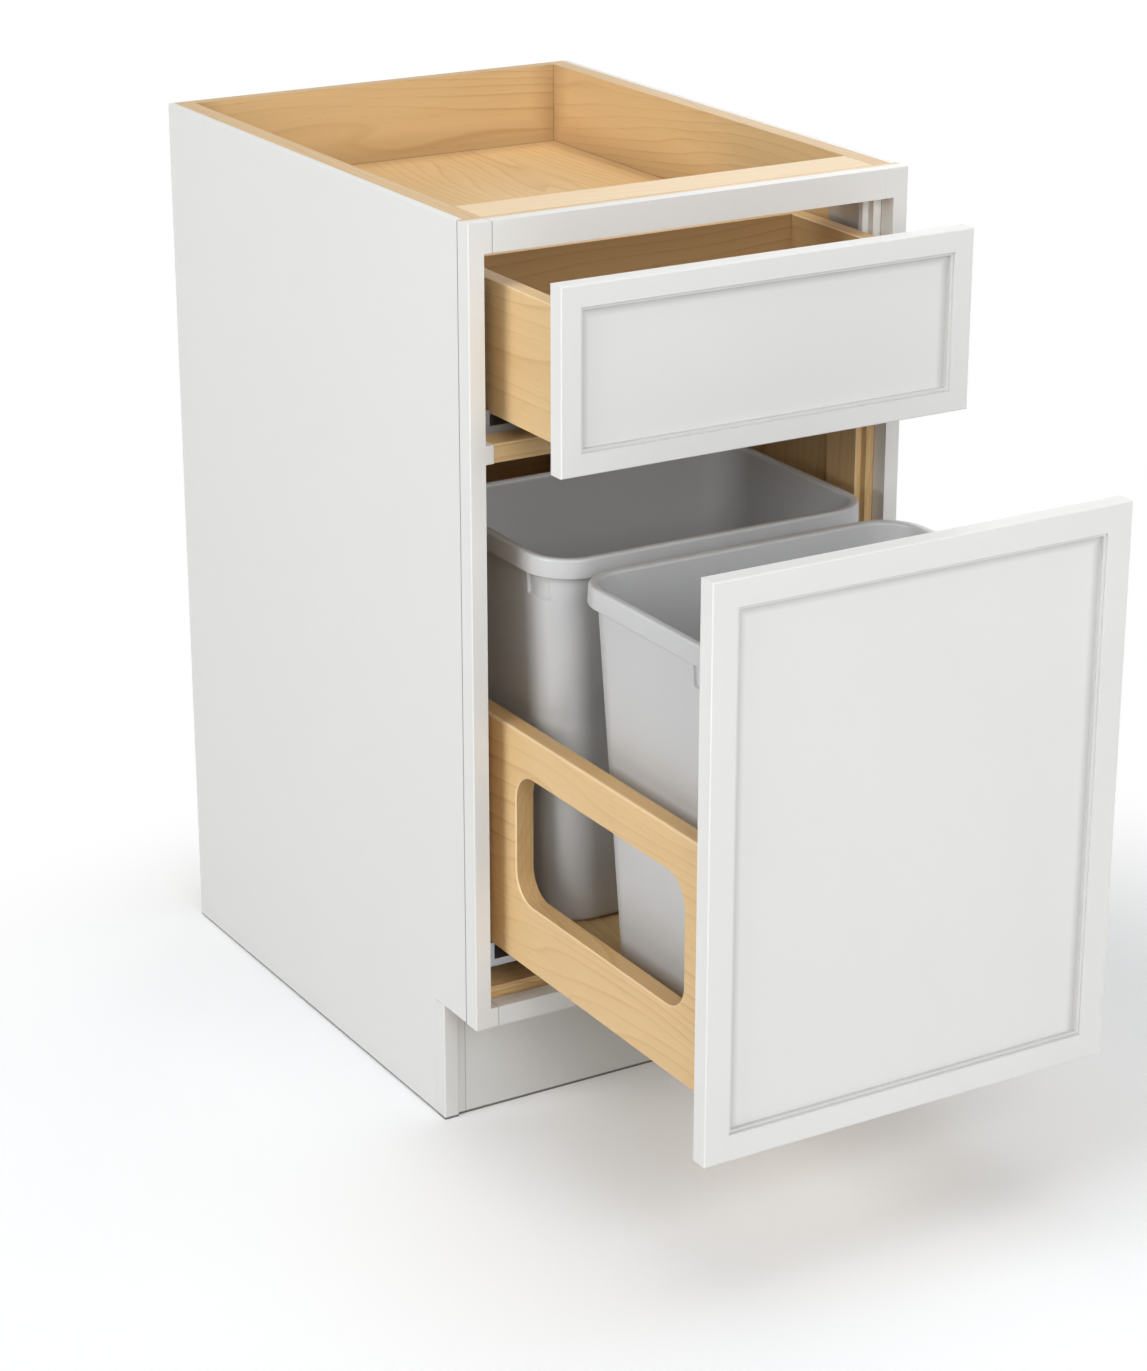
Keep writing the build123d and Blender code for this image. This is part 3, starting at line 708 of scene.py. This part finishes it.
def board_figure(tree, name, number, place, maple):
    """The figure of one board, cut from its own place in the log."""
    direction, thick, _ = MAPLE[name]
    shift = [number * step for step in LOG_STEP]
    vector = mapped(tree, place, turn=GRAIN_TURN[direction], shift=shift)
    if name.endswith("side_panel"):
        # above the tray floor the veneer lies along the depth of the cabinet
        above = math_node(tree, "GREATER_THAN", split(tree, place)["Z"], tray_high.z)
        lengthwise = mapped(tree, place, turn=GRAIN_TURN["Y"], shift=shift)
        choice = {0: above, 4: vector, 5: lengthwise}
        vector = add_node(tree, "ShaderNodeMix", choice, data_type="VECTOR").outputs[1]
    through = {axis: 1.0 for axis in "XYZ"} | {direction: KNOT_ALONG, thick: KNOT_THROUGH}
    pale = name in PALE_BOARDS
    # each board's painted light or shade, as a scale of its tones
    tone = BOARD_LIGHT_AND_SHADE.get(name, 1.0)
    light, dark = (maple.pale, maple.light) if pale else (maple.light, maple.dark)
    inputs = {
        "Vector": vector,
        "Light": opaque([tone * channel for channel in light]),
        "Dark": opaque([tone * channel for channel in dark]),
        "Knots": mapped(tree, place, scale=tuple(through.values()), shift=shift),
    }
    return place_group(tree, "maple figure", inputs)


def contact_lines(name):
    """Axis and place of each line on a board of the tray where another board meets it."""
    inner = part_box("right_side_panel")[0].x
    lines = [("X", -inner), ("X", inner), ("Y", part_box("back_panel")[0].y), ("Z", tray_high.z)]
    return [(axis, place) for axis, place in lines if axis != MAPLE[name][1]]


def tray_corner_shade(tree, name, point, normal):
    """Painted shade in the corners of the top tray, on its inner faces."""
    share = 0.0
    for axis, place in contact_lines(name):
        lines = [soft_line(tree, point[axis], place, *line) for line in CORNER_SHADE_LINES]
        share = math_node(tree, "MAXIMUM", share, *lines)
    inner = place_group(tree, "inner face", {"Normal": normal, "Direction": TRAY_FACES[name]})
    in_tray = math_node(tree, "GREATER_THAN", point["Y"], tray_low.y)
    return product(tree, share, inner["Whole"], in_tray)


def board_layers(tree, name, coordinates, maple, paint):
    """Tones that lie over the figure of a board, the lowest first."""
    thick, plies_show = MAPLE[name][1:]
    place, normal = coordinates["Object"], coordinates["Normal"]
    point = split(tree, place)
    facing = math_node(tree, "ABSOLUTE", split(tree, normal)[thick])
    edges = place_group(tree, "board edge", {"Facing": facing})
    layers = []
    if name.endswith("pullout_side"):
        # painted shade on the edges of the side frames
        shade = product(tree, edges["Edge"], maple.edge_shade)
        layers.append((shade, maple.dark))
    if plies_show:
        face = getattr(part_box(name)[0], thick.lower())
        inputs = {
            "Vector": place,
            "Depth": math_node(tree, "SUBTRACT", point[thick], face),
            "Facing": facing,
            "Ply": maple.ply,
            "Strength": plies_show,
        }
        layers.append((place_group(tree, "ply edge", inputs)["Mask"], maple.dark))
    # painted shade in the corners of the tray, where the boards meet
    if name in TRAY_FACES:
        layers.append((tray_corner_shade(tree, name, point, normal), maple.painted_shade))
    # painted shade on the inner faces of the drawer
    if name in DRAWER_FACES:
        inputs = {"Normal": normal, "Direction": DRAWER_FACES[name]}
        inner = place_group(tree, "inner face", inputs)
        shade = product(tree, inner["Flat"], maple.inside_shade)
        layers.append((shade, maple.painted_shade))
    # painted highlight: a pale line along the eased edges
    layers.append((edges["Eased"], maple.pale))
    if name.endswith(("side_panel", "upper_front_cleat")):
        # the paint of the face frame laps onto the wood beside the drawer, past the stile
        inputs = {
            "Vector": place,
            "Edge": rail_high.y + paint.lap,
            "Low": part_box("mid_rail")[1].z,
            "High": rail_low.z,
        }
        layers.append((place_group(tree, "lapped paint", inputs)["Mask"], paint.colour))
    return layers


def maple_board(name, number, maple, paint):
    """Clear-coated maple for one board, with plies on the edges if it is plywood."""
    material, tree, shader, coordinates = new_material(f"maple {name}")
    figure = board_figure(tree, name, number, coordinates["Object"], maple)
    layers = board_layers(tree, name, coordinates, maple, paint)
    colour = layered(tree, figure["Color"], layers)
    wire_surface(tree, shader, "maple figure", figure, colour, maple.roughness)
    feed(tree, shader.inputs, CLEAR_COAT)
    return material


def dress(name, material):
    """Give a carried-over piece its material."""
    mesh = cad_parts[name].data
    mesh.materials.clear()
    mesh.materials.append(material)


# ------ mesh helpers
SHARP_ANGLE = math.radians(38)
MERGE = 1e-6  # points nearer than this are one


def finish_piece(mesh_data, name, material, body):
    """Turn a bmesh into a smooth-shaded object that rides on a body."""
    mesh = bpy.data.meshes.new(name)
    mesh_data.to_mesh(mesh)
    mesh_data.free()
    mesh.materials.append(material)
    mesh.shade_smooth()
    mesh.set_sharp_from_angle(angle=SHARP_ANGLE)
    piece = bpy.data.objects.new(name, mesh)
    bpy.context.scene.collection.objects.link(piece)
    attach(piece, body)
    return piece


def grow(shell, edges):
    """Extrude open edges, and give the new points and the new edges."""
    grown = bmesh.ops.extrude_edge_only(shell, edges=edges)["geom"]
    verts = [item for item in grown if isinstance(item, bmesh.types.BMVert)]
    return verts, [item for item in grown if isinstance(item, bmesh.types.BMEdge)]


class RoundedRing:
    """The open edge of a round-cornered tube, carried up and out ring by ring."""

    def __init__(self, shell, half_width, half_depth, corner, height, segments):
        self.shell = shell
        self.half = Vector((half_width, half_depth, 0.0))
        self.corner = corner
        self.height = height
        spread = Matrix.Diagonal((half_width, half_depth, 1, 1))
        start = Matrix.Translation((0, 0, height)) @ spread
        bmesh.ops.create_grid(shell, x_segments=1, y_segments=1, size=1.0, matrix=start)
        bmesh.ops.bevel(
            shell,
            geom=shell.verts[:],
            offset=corner,
            offset_type="OFFSET",
            segments=segments,
            profile=0.5,
            affect="VERTICES",
            material=-1,
        )
        self.edges = shell.edges[:]

    def step(self, out, up, round_more=0.0):
        """Extrude the open edge: sides move out, and the corner radius grows."""
        verts, self.edges = grow(self.shell, self.edges)
        corner = self.corner + round_more
        inset = self.half - Vector((self.corner, self.corner, 0.0))
        for sign_x in (-1, 1):
            for sign_y in (-1, 1):
                quadrant = [v for v in verts if v.co.x * sign_x > 0 and v.co.y * sign_y > 0]
                centre = Vector((sign_x * inset.x, sign_y * inset.y, self.height))
                move = Vector((sign_x, sign_y, 0.0)) * (out - round_more)
                bmesh.ops.scale(
                    self.shell,
                    vec=(corner / self.corner, corner / self.corner, 1.0),
                    space=Matrix.Translation(-centre),
                    verts=quadrant,
                )
                bmesh.ops.translate(self.shell, vec=move + Vector((0, 0, up)), verts=quadrant)
        self.half += Vector((out, out, 0.0))
        self.corner = corner
        self.height += up

    def turn(self, radius, start, stop, steps):
        """Carry the open edge round an arc, out and up, offsetting the corners."""
        for number in range(steps):
            first = start + (stop - start) * number / steps
            second = start + (stop - start) * (number + 1) / steps
            out = radius * (math.cos(second) - math.cos(first))
            up = radius * (math.sin(second) - math.sin(first))
            self.step(out, up, out)

    def close(self):
        """Close the open edge with a face."""
        bmesh.ops.contextual_create(self.shell, geom=self.edges)


# ------ bins
LIP_FALL = 0.0004  # how far the top of the lip falls to the inside
PAD_SEARCH = 0.006  # how far inside the outer wall a face of that wall may lie
PAD_TURN = math.radians(50)  # how far a face of a pad may turn from the side
PAD_SLOPE = 0.6  # width of a pad's sloping edge, as a share of its lift
LEVEL_SLACK = 1e-4  # heights nearer than this are the same
QUARTER = math.pi / 2


def bin_mesh(sizes, low, high):
    """One moulded bin: base, leaning walls, turned-down rim, inside and corner pads."""
    shell = bmesh.new()
    middle = (low + high) / 2
    height = high.z - low.z
    body_half_width = (high.x - low.x) / 2 - sizes.overhang
    body_half_depth = (high.y - low.y) / 2 - sizes.overhang
    wall = sizes.wall

    # outside: base, round edge, leaning wall
    base_inset = sizes.draft + sizes.base_round
    ring = RoundedRing(
        shell,
        body_half_width - base_inset,
        body_half_depth - base_inset,
        sizes.corner - sizes.base_round,
        0.0,
        sizes.segments,
    )
    ring.turn(sizes.base_round, -QUARTER, 0.0, 5)
    pad_foot = height - sizes.skirt - sizes.pad_height
    wall_top = height - wall
    lean = sizes.draft / (wall_top - sizes.base_round)
    ring.step(lean * (pad_foot - sizes.base_round), pad_foot - sizes.base_round)
    ring.step(lean * (wall_top - pad_foot), wall_top - pad_foot)

    # rim: under the lip, down inside the skirt, round its foot, up outside, over the lip
    skirt_inner = sizes.overhang - wall - sizes.flare
    ring.step(skirt_inner, 0.0, skirt_inner)
    ring.step(sizes.flare, wall - sizes.skirt, sizes.flare)
    ring.turn(wall / 2, math.pi, 2 * math.pi, 6)
    ring.step(-sizes.flare, sizes.skirt - sizes.lip_round, -sizes.flare)
    ring.turn(sizes.lip_round, 0.0, QUARTER, 5)
    lip_flat = sizes.overhang + wall - sizes.flare - 2 * sizes.lip_round
    ring.step(-lip_flat, -LIP_FALL, -lip_flat)
    ring.turn(sizes.lip_round, QUARTER, math.pi, 4)

    # inside: wall down to the round edge of the floor
    drop = wall + sizes.base_round - ring.height
    ring.step(lean * drop, drop)
    ring.turn(sizes.base_round, 2 * math.pi, 1.5 * math.pi, 5)
    ring.close()

    raise_pads(shell, sizes, body_half_width, body_half_depth, pad_foot)
    bmesh.ops.remove_doubles(shell, verts=shell.verts[:], dist=MERGE)
    bmesh.ops.recalc_face_normals(shell, faces=shell.faces[:])
    bmesh.ops.translate(shell, vec=(middle.x, middle.y, low.z), verts=shell.verts[:])
    return shell


def raise_pads(shell, sizes, half_width, half_depth, foot):
    """Raise a pad on the outer wall at each front corner, just below the rim."""
    straight_x = half_width - sizes.corner - sizes.pad_reach
    straight_y = half_depth - sizes.corner - sizes.pad_reach
    for place, normal in (
        ((straight_x, 0, 0), (1, 0, 0)),
        ((-straight_x, 0, 0), (1, 0, 0)),
        ((0, straight_y, 0), (0, 1, 0)),
        ((0, -straight_y, 0), (0, 1, 0)),
    ):
        geometry = shell.verts[:] + shell.edges[:] + shell.faces[:]
        bmesh.ops.bisect_plane(shell, geom=geometry, plane_co=place, plane_no=normal, dist=MERGE)
    outer_x, outer_y = (half - sizes.wall / 2 - PAD_SEARCH for half in (half_width, half_depth))
    pads = []
    for face in shell.faces:
        centre = face.calc_center_median()
        low = min(vert.co.z for vert in face.verts)
        outside = abs(centre.x) > outer_x or abs(centre.y) > outer_y
        in_corner = abs(centre.x) > straight_x and centre.y < -straight_y
        sideways = abs(face.normal.x) > math.cos(PAD_TURN)
        upright = abs(low - foot) < LEVEL_SLACK and abs(face.normal.z) < 0.3
        if outside and in_corner and sideways and upright:
            pads.append(face)
    bmesh.ops.inset_region(
        shell,
        faces=pads,
        thickness=sizes.pad_lift * PAD_SLOPE,
        depth=sizes.pad_lift,
        use_even_offset=True,
        use_boundary=True,
    )


class CABINET_OT_bins(bpy.types.Operator):
    """Model the moulded bins in place of the plain ones"""

    bl_idname = "cabinet.bins"
    bl_label = "Bins"

    def execute(self, context):
        scene = context.scene
        plastic = film_material("bin plastic", "moulded skin", scene.bin_plastic)
        for name in BINS:
            shell = bin_mesh(scene.bin_sizes, *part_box(name))
            piece = finish_piece(shell, f"moulded_{name}", plastic, name)
            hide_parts(name)
        return {"FINISHED"}


# ------ finishes of the other pieces
class CABINET_OT_effects(bpy.types.Operator):
    """Build the shared effects that the materials use"""

    bl_idname = "cabinet.effects"
    bl_label = "Effects"

    def execute(self, context):
        make_maple_figure()
        make_ply_edge()
        make_board_edge()
        make_inner_face()
        make_soft_line()
        make_rebate()
        make_lapped_paint()
        make_paint_film()
        make_moulded_skin()
        make_rolled_steel()
        return {"FINISHED"}


class CABINET_OT_paint(bpy.types.Operator):
    """Paint the fronts, the face frame, the skins and the toe board"""

    bl_idname = "cabinet.paint"
    bl_label = "Paint"

    def execute(self, context):
        paint = context.scene.paint
        # the rail joint, and painted shade in the groove behind the stiles and along the floor
        grooved = film_material("satin paint, grooved", "paint film", paint, layers=seam_and_shade_layers)
        for name in PAINTED_TO_FLOOR:
            dress(name, grooved)
        for front, panel in FRONTS.items():
            for name, part in ((front, "Bead"), (panel, "Panel")):
                shade = partial(rebate_layers, panel=panel, part=part)
                coat = film_material(f"satin paint {name}", "paint film", paint, layers=shade)
                dress(name, coat)
        lapped = paint_over_maple(paint, context.scene.maple)
        for name in PAINTED_OVER_MAPLE:
            dress(name, lapped)
        return {"FINISHED"}


class CABINET_OT_maple(bpy.types.Operator):
    """Give each maple board its own figure"""

    bl_idname = "cabinet.maple"
    bl_label = "Maple"

    def execute(self, context):
        for number, name in enumerate(sorted(MAPLE), start=1):
            dress(name, maple_board(name, number, context.scene.maple, context.scene.paint))
        return {"FINISHED"}


class CABINET_OT_steel(bpy.types.Operator):
    """Plate the slides and brackets"""

    bl_idname = "cabinet.steel"
    bl_label = "Slides"

    def execute(self, context):
        steel = context.scene.steel
        plating = film_material("zinc plating", "rolled steel", steel, PLATING_METALLIC)
        for name in STEEL:
            dress(name, plating)
        return {"FINISHED"}


# ------ screws
BRACKET_SCREWS = {  # rows of screws above each bracket's foot
    "front": (0.030, 0.161),
    "rear": (0.030, 0.065),
    "front_pullout": (0.016,),
    "rear_pullout": (0.020, 0.045),
}
BRACKET_GAUGE = 0.0015
SCREW_INSET = 0.012  # from the upright edges of a bracket
FRONT_SCREWS = {  # a front's fixing screws: their board and body, share of its width, inset
    "drawer_front_screws": ("drawer_box_front", "drawer", 0.62, 0.030),
    "door_screws": ("front_cross_rail", "pullout", 0.72, 0.020),
}
LOBES = 12


def screw_mesh(sizes):
    """A pan-head screw seen from outside, its head's foot at z 0."""
    head = bmesh.new()
    bmesh.ops.create_circle(head, cap_ends=False, segments=LOBES, radius=sizes.head / 2)
    edges = head.edges[:]
    for scale, up, star in (  # each ring's scale, its rise, and how far every other point is in
        (0.96, 0.45 * sizes.rise, 1.0),
        (0.80, 0.35 * sizes.rise, 1.0),
        (0.72, 0.20 * sizes.rise, 1.0),
        (0.62, 0.0, 0.72),
        (0.92, -sizes.recess, 1.0),
    ):
        verts, edges = grow(head, edges)
        bmesh.ops.scale(head, vec=(scale, scale, 1.0), verts=verts)
        bmesh.ops.translate(head, vec=(0, 0, up), verts=verts)
        inner = sorted(verts, key=lambda vert: math.atan2(vert.co.y, vert.co.x))[::2]
        bmesh.ops.scale(head, vec=(star, star, 1.0), verts=inner)
    bmesh.ops.contextual_create(head, geom=edges)
    foot = [edge for edge in head.edges if edge.is_boundary]
    bmesh.ops.contextual_create(head, geom=foot)
    bmesh.ops.recalc_face_normals(head, faces=head.faces[:])
    return head


def screws(name, body, places, facing, material, sizes):
    """One piece that holds a group of equal screws, turned to face one way."""
    turn = Vector(facing).to_track_quat("Z", "Y").to_matrix().to_4x4()
    group = bmesh.new()
    one = bpy.data.meshes.new(f"{name}_one")
    head = screw_mesh(sizes)
    head.to_mesh(one)
    head.free()
    for place in places:
        before = set(group.verts)
        group.from_mesh(one)
        added = [vert for vert in group.verts if vert not in before]
        bmesh.ops.transform(group, matrix=Matrix.Translation(place) @ turn, verts=added)
    bpy.data.meshes.remove(one)
    return finish_piece(group, name, material, body)


class CABINET_OT_screws(bpy.types.Operator):
    """Add the screws that show on the slides' brackets and behind the fronts"""

    bl_idname = "cabinet.screws"
    bl_label = "Screws"

    def execute(self, context):
        scene = context.scene
        sizes = scene.screw_sizes
        steel = film_material("screw steel", "rolled steel", scene.steel, SCREW_METALLIC)
        for side, sign in zip(BOTH, (-1, 1)):
            for bracket, rows in BRACKET_SCREWS.items():
                low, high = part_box(f"{side}_{bracket}_slide_bracket")
                wall = low.x if sign < 0 else high.x
                places = [
                    Vector((wall - sign * BRACKET_GAUGE, y, low.z + row))
                    for y in (low.y + SCREW_INSET, high.y - SCREW_INSET)
                    for row in rows
                ]
                name = f"{side}_{bracket}_bracket_screws"
                screws(name, "cabinet", places, (-sign, 0, 0), steel, sizes)
        for name, (board, body, share, inset) in FRONT_SCREWS.items():
            low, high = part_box(board)
            places = [
                Vector((x, high.y, z))
                for x in (low.x * share, high.x * share)
                for z in (low.z + inset, high.z - inset)
            ]
            screws(name, body, places, (0, 1, 0), steel, sizes)
        return {"FINISHED"}


# ------ stage
LAMPS = {  # place of each lamp, and the width of its square
    "key": ((-4.0, -1.0, 2.2), 2.4),
    "front": ((-0.6, -5.2, 2.4), 3.0),
    "top": ((0.2, -0.8, 3.6), 2.4),
    "fill": ((3.4, 2.4, 2.0), 3.0),
}
FLOOR_HALF = 20.0  # half the width of the floor
GREY_SHIFT = (-0.05, -0.32)  # from the cabinet's middle to the middle of the grey floor
SENSOR = 36.0  # width in mm


def seen_directly(tree):
    """One for camera, mirror and glass rays, nought for the light that falls on things."""
    path = tree.nodes.new("ShaderNodeLightPath").outputs
    rays = ("Is Camera Ray", "Is Glossy Ray", "Is Transmission Ray")
    return math_node(tree, "MAXIMUM", *[path[ray] for ray in rays])


def floor_material(stage):
    """Matt grey that holds the shadow near the cabinet, seen as white further out."""
    material = bpy.data.materials.new("studio floor")
    material.use_nodes = True
    tree = material.node_tree
    tree.nodes.clear()
    seen = seen_directly(tree)
    colour = mix_colour(tree, seen, opaque(stage.floor_colour), opaque(stage.floor_seen))
    place = tree.nodes.new("ShaderNodeTexCoord").outputs["Object"]
    middle = (cad_middle.x + GREY_SHIFT[0], cad_middle.y + GREY_SHIFT[1], 0.0)
    away = vector_math(tree, "DISTANCE", place, middle)["Value"]
    clear = ramp(tree, away, stage.white_from, stage.white_by)
    glow = math_node(tree, "MAXIMUM", clear, stage.floor_glow)
    surface = {
        0: product(tree, seen, glow),
        1: add_node(tree, "ShaderNodeBsdfDiffuse", {"Color": colour}).outputs[0],
        2: add_node(tree, "ShaderNodeEmission", {"Strength": 1.0}).outputs[0],
    }
    both = add_node(tree, "ShaderNodeMixShader", surface)
    add_node(tree, "ShaderNodeOutputMaterial", {"Surface": both.outputs[0]})
    return material


def lay_floor(scene):
    """A wide floor under the cabinet."""
    ground = bmesh.new()
    bmesh.ops.create_grid(ground, x_segments=1, y_segments=1, size=FLOOR_HALF)
    mesh = bpy.data.meshes.new("floor")
    ground.to_mesh(mesh)
    ground.free()
    mesh.materials.append(floor_material(scene.stage))
    ground_piece = bpy.data.objects.new("floor", mesh)
    scene.collection.objects.link(ground_piece)


def surround(scene):
    """White surroundings that give the cabinet only a soft ambient light."""
    scene.world = bpy.data.worlds.new("white studio")
    scene.world.use_nodes = True
    tree = scene.world.node_tree
    strength = add_node(
        tree,
        "ShaderNodeMapRange",
        {"Value": seen_directly(tree), "To Min": scene.stage.ambient, "To Max": 1.0},
    )
    white = {"Color": (1.0, 1.0, 1.0, 1.0), "Strength": strength.outputs["Result"]}
    feed(tree, tree.nodes["Background"].inputs, white)


def add_lamp(name, place, size, power):
    """A soft square lamp that points at the middle of the cabinet."""
    light = bpy.data.lights.new(name, "AREA")
    light.shape = "SQUARE"
    light.size = size
    light.energy = power
    lamp = bpy.data.objects.new(name, light)
    lamp.location = place
    lamp.rotation_euler = (cad_middle - Vector(place)).to_track_quat("-Z", "Y").to_euler()
    bpy.context.scene.collection.objects.link(lamp)


def set_camera(scene):
    """The camera, at the angle of the photograph."""
    stage = scene.stage
    camera = bpy.data.cameras.new("camera")
    camera.lens = stage.lens
    camera.sensor_width = SENSOR
    view = bpy.data.objects.new("camera", camera)
    view.location = stage.eye
    view.rotation_euler = (stage.pitch, 0.0, stage.yaw)
    scene.collection.objects.link(view)
    scene.camera = view


class CABINET_OT_stage(bpy.types.Operator):
    """Set the floor, the white surroundings, the lamps and the camera"""

    bl_idname = "cabinet.stage"
    bl_label = "Stage"

    def execute(self, context):
        scene = context.scene
        lay_floor(scene)
        surround(scene)
        for name, (place, size) in LAMPS.items():
            add_lamp(f"{name} lamp", place, size, getattr(scene.stage, name))
        set_camera(scene)
        scene.view_settings.view_transform = "Standard"
        return {"FINISHED"}


# ------ panel and registration
SETTINGS = {
    "paint": PaintSettings,
    "maple": MapleSettings,
    "bin_plastic": PlasticSettings,
    "steel": SteelSettings,
    "bin_sizes": BinSettings,
    "screw_sizes": ScrewSettings,
    "stage": StageSettings,
}
OPERATORS = (
    CABINET_OT_effects,
    CABINET_OT_paint,
    CABINET_OT_maple,
    CABINET_OT_steel,
    CABINET_OT_bins,
    CABINET_OT_screws,
    CABINET_OT_stage,
)


class CABINET_PT_panel(bpy.types.Panel):
    """Buttons and settings of the cabinet"""

    bl_idname = "CABINET_PT_panel"
    bl_label = "Pull-out Waste Cabinet"
    bl_space_type = "VIEW_3D"
    bl_region_type = "UI"
    bl_category = "Cabinet"

    def draw(self, context):
        for operator in OPERATORS:
            self.layout.operator(operator.bl_idname)
        for name in SETTINGS:
            group = getattr(context.scene, name)
            box = self.layout.box()
            for setting in group.__annotations__:
                box.prop(group, setting)


def register():
    for cls in (*SETTINGS.values(), *OPERATORS, CABINET_PT_panel):
        bpy.utils.register_class(cls)
    for name, group in SETTINGS.items():
        setattr(bpy.types.Scene, name, PointerProperty(type=group))


def unregister():
    for name in SETTINGS:
        delattr(bpy.types.Scene, name)
    for cls in (CABINET_PT_panel, *reversed(OPERATORS), *reversed(SETTINGS.values())):
        bpy.utils.unregister_class(cls)


def main():
    register()
    bpy.ops.cabinet.effects()
    bpy.ops.cabinet.paint()
    bpy.ops.cabinet.maple()
    bpy.ops.cabinet.steel()
    bpy.ops.cabinet.bins()
    bpy.ops.cabinet.screws()
    bpy.ops.cabinet.stage()


if __name__ == "__main__":
    main()
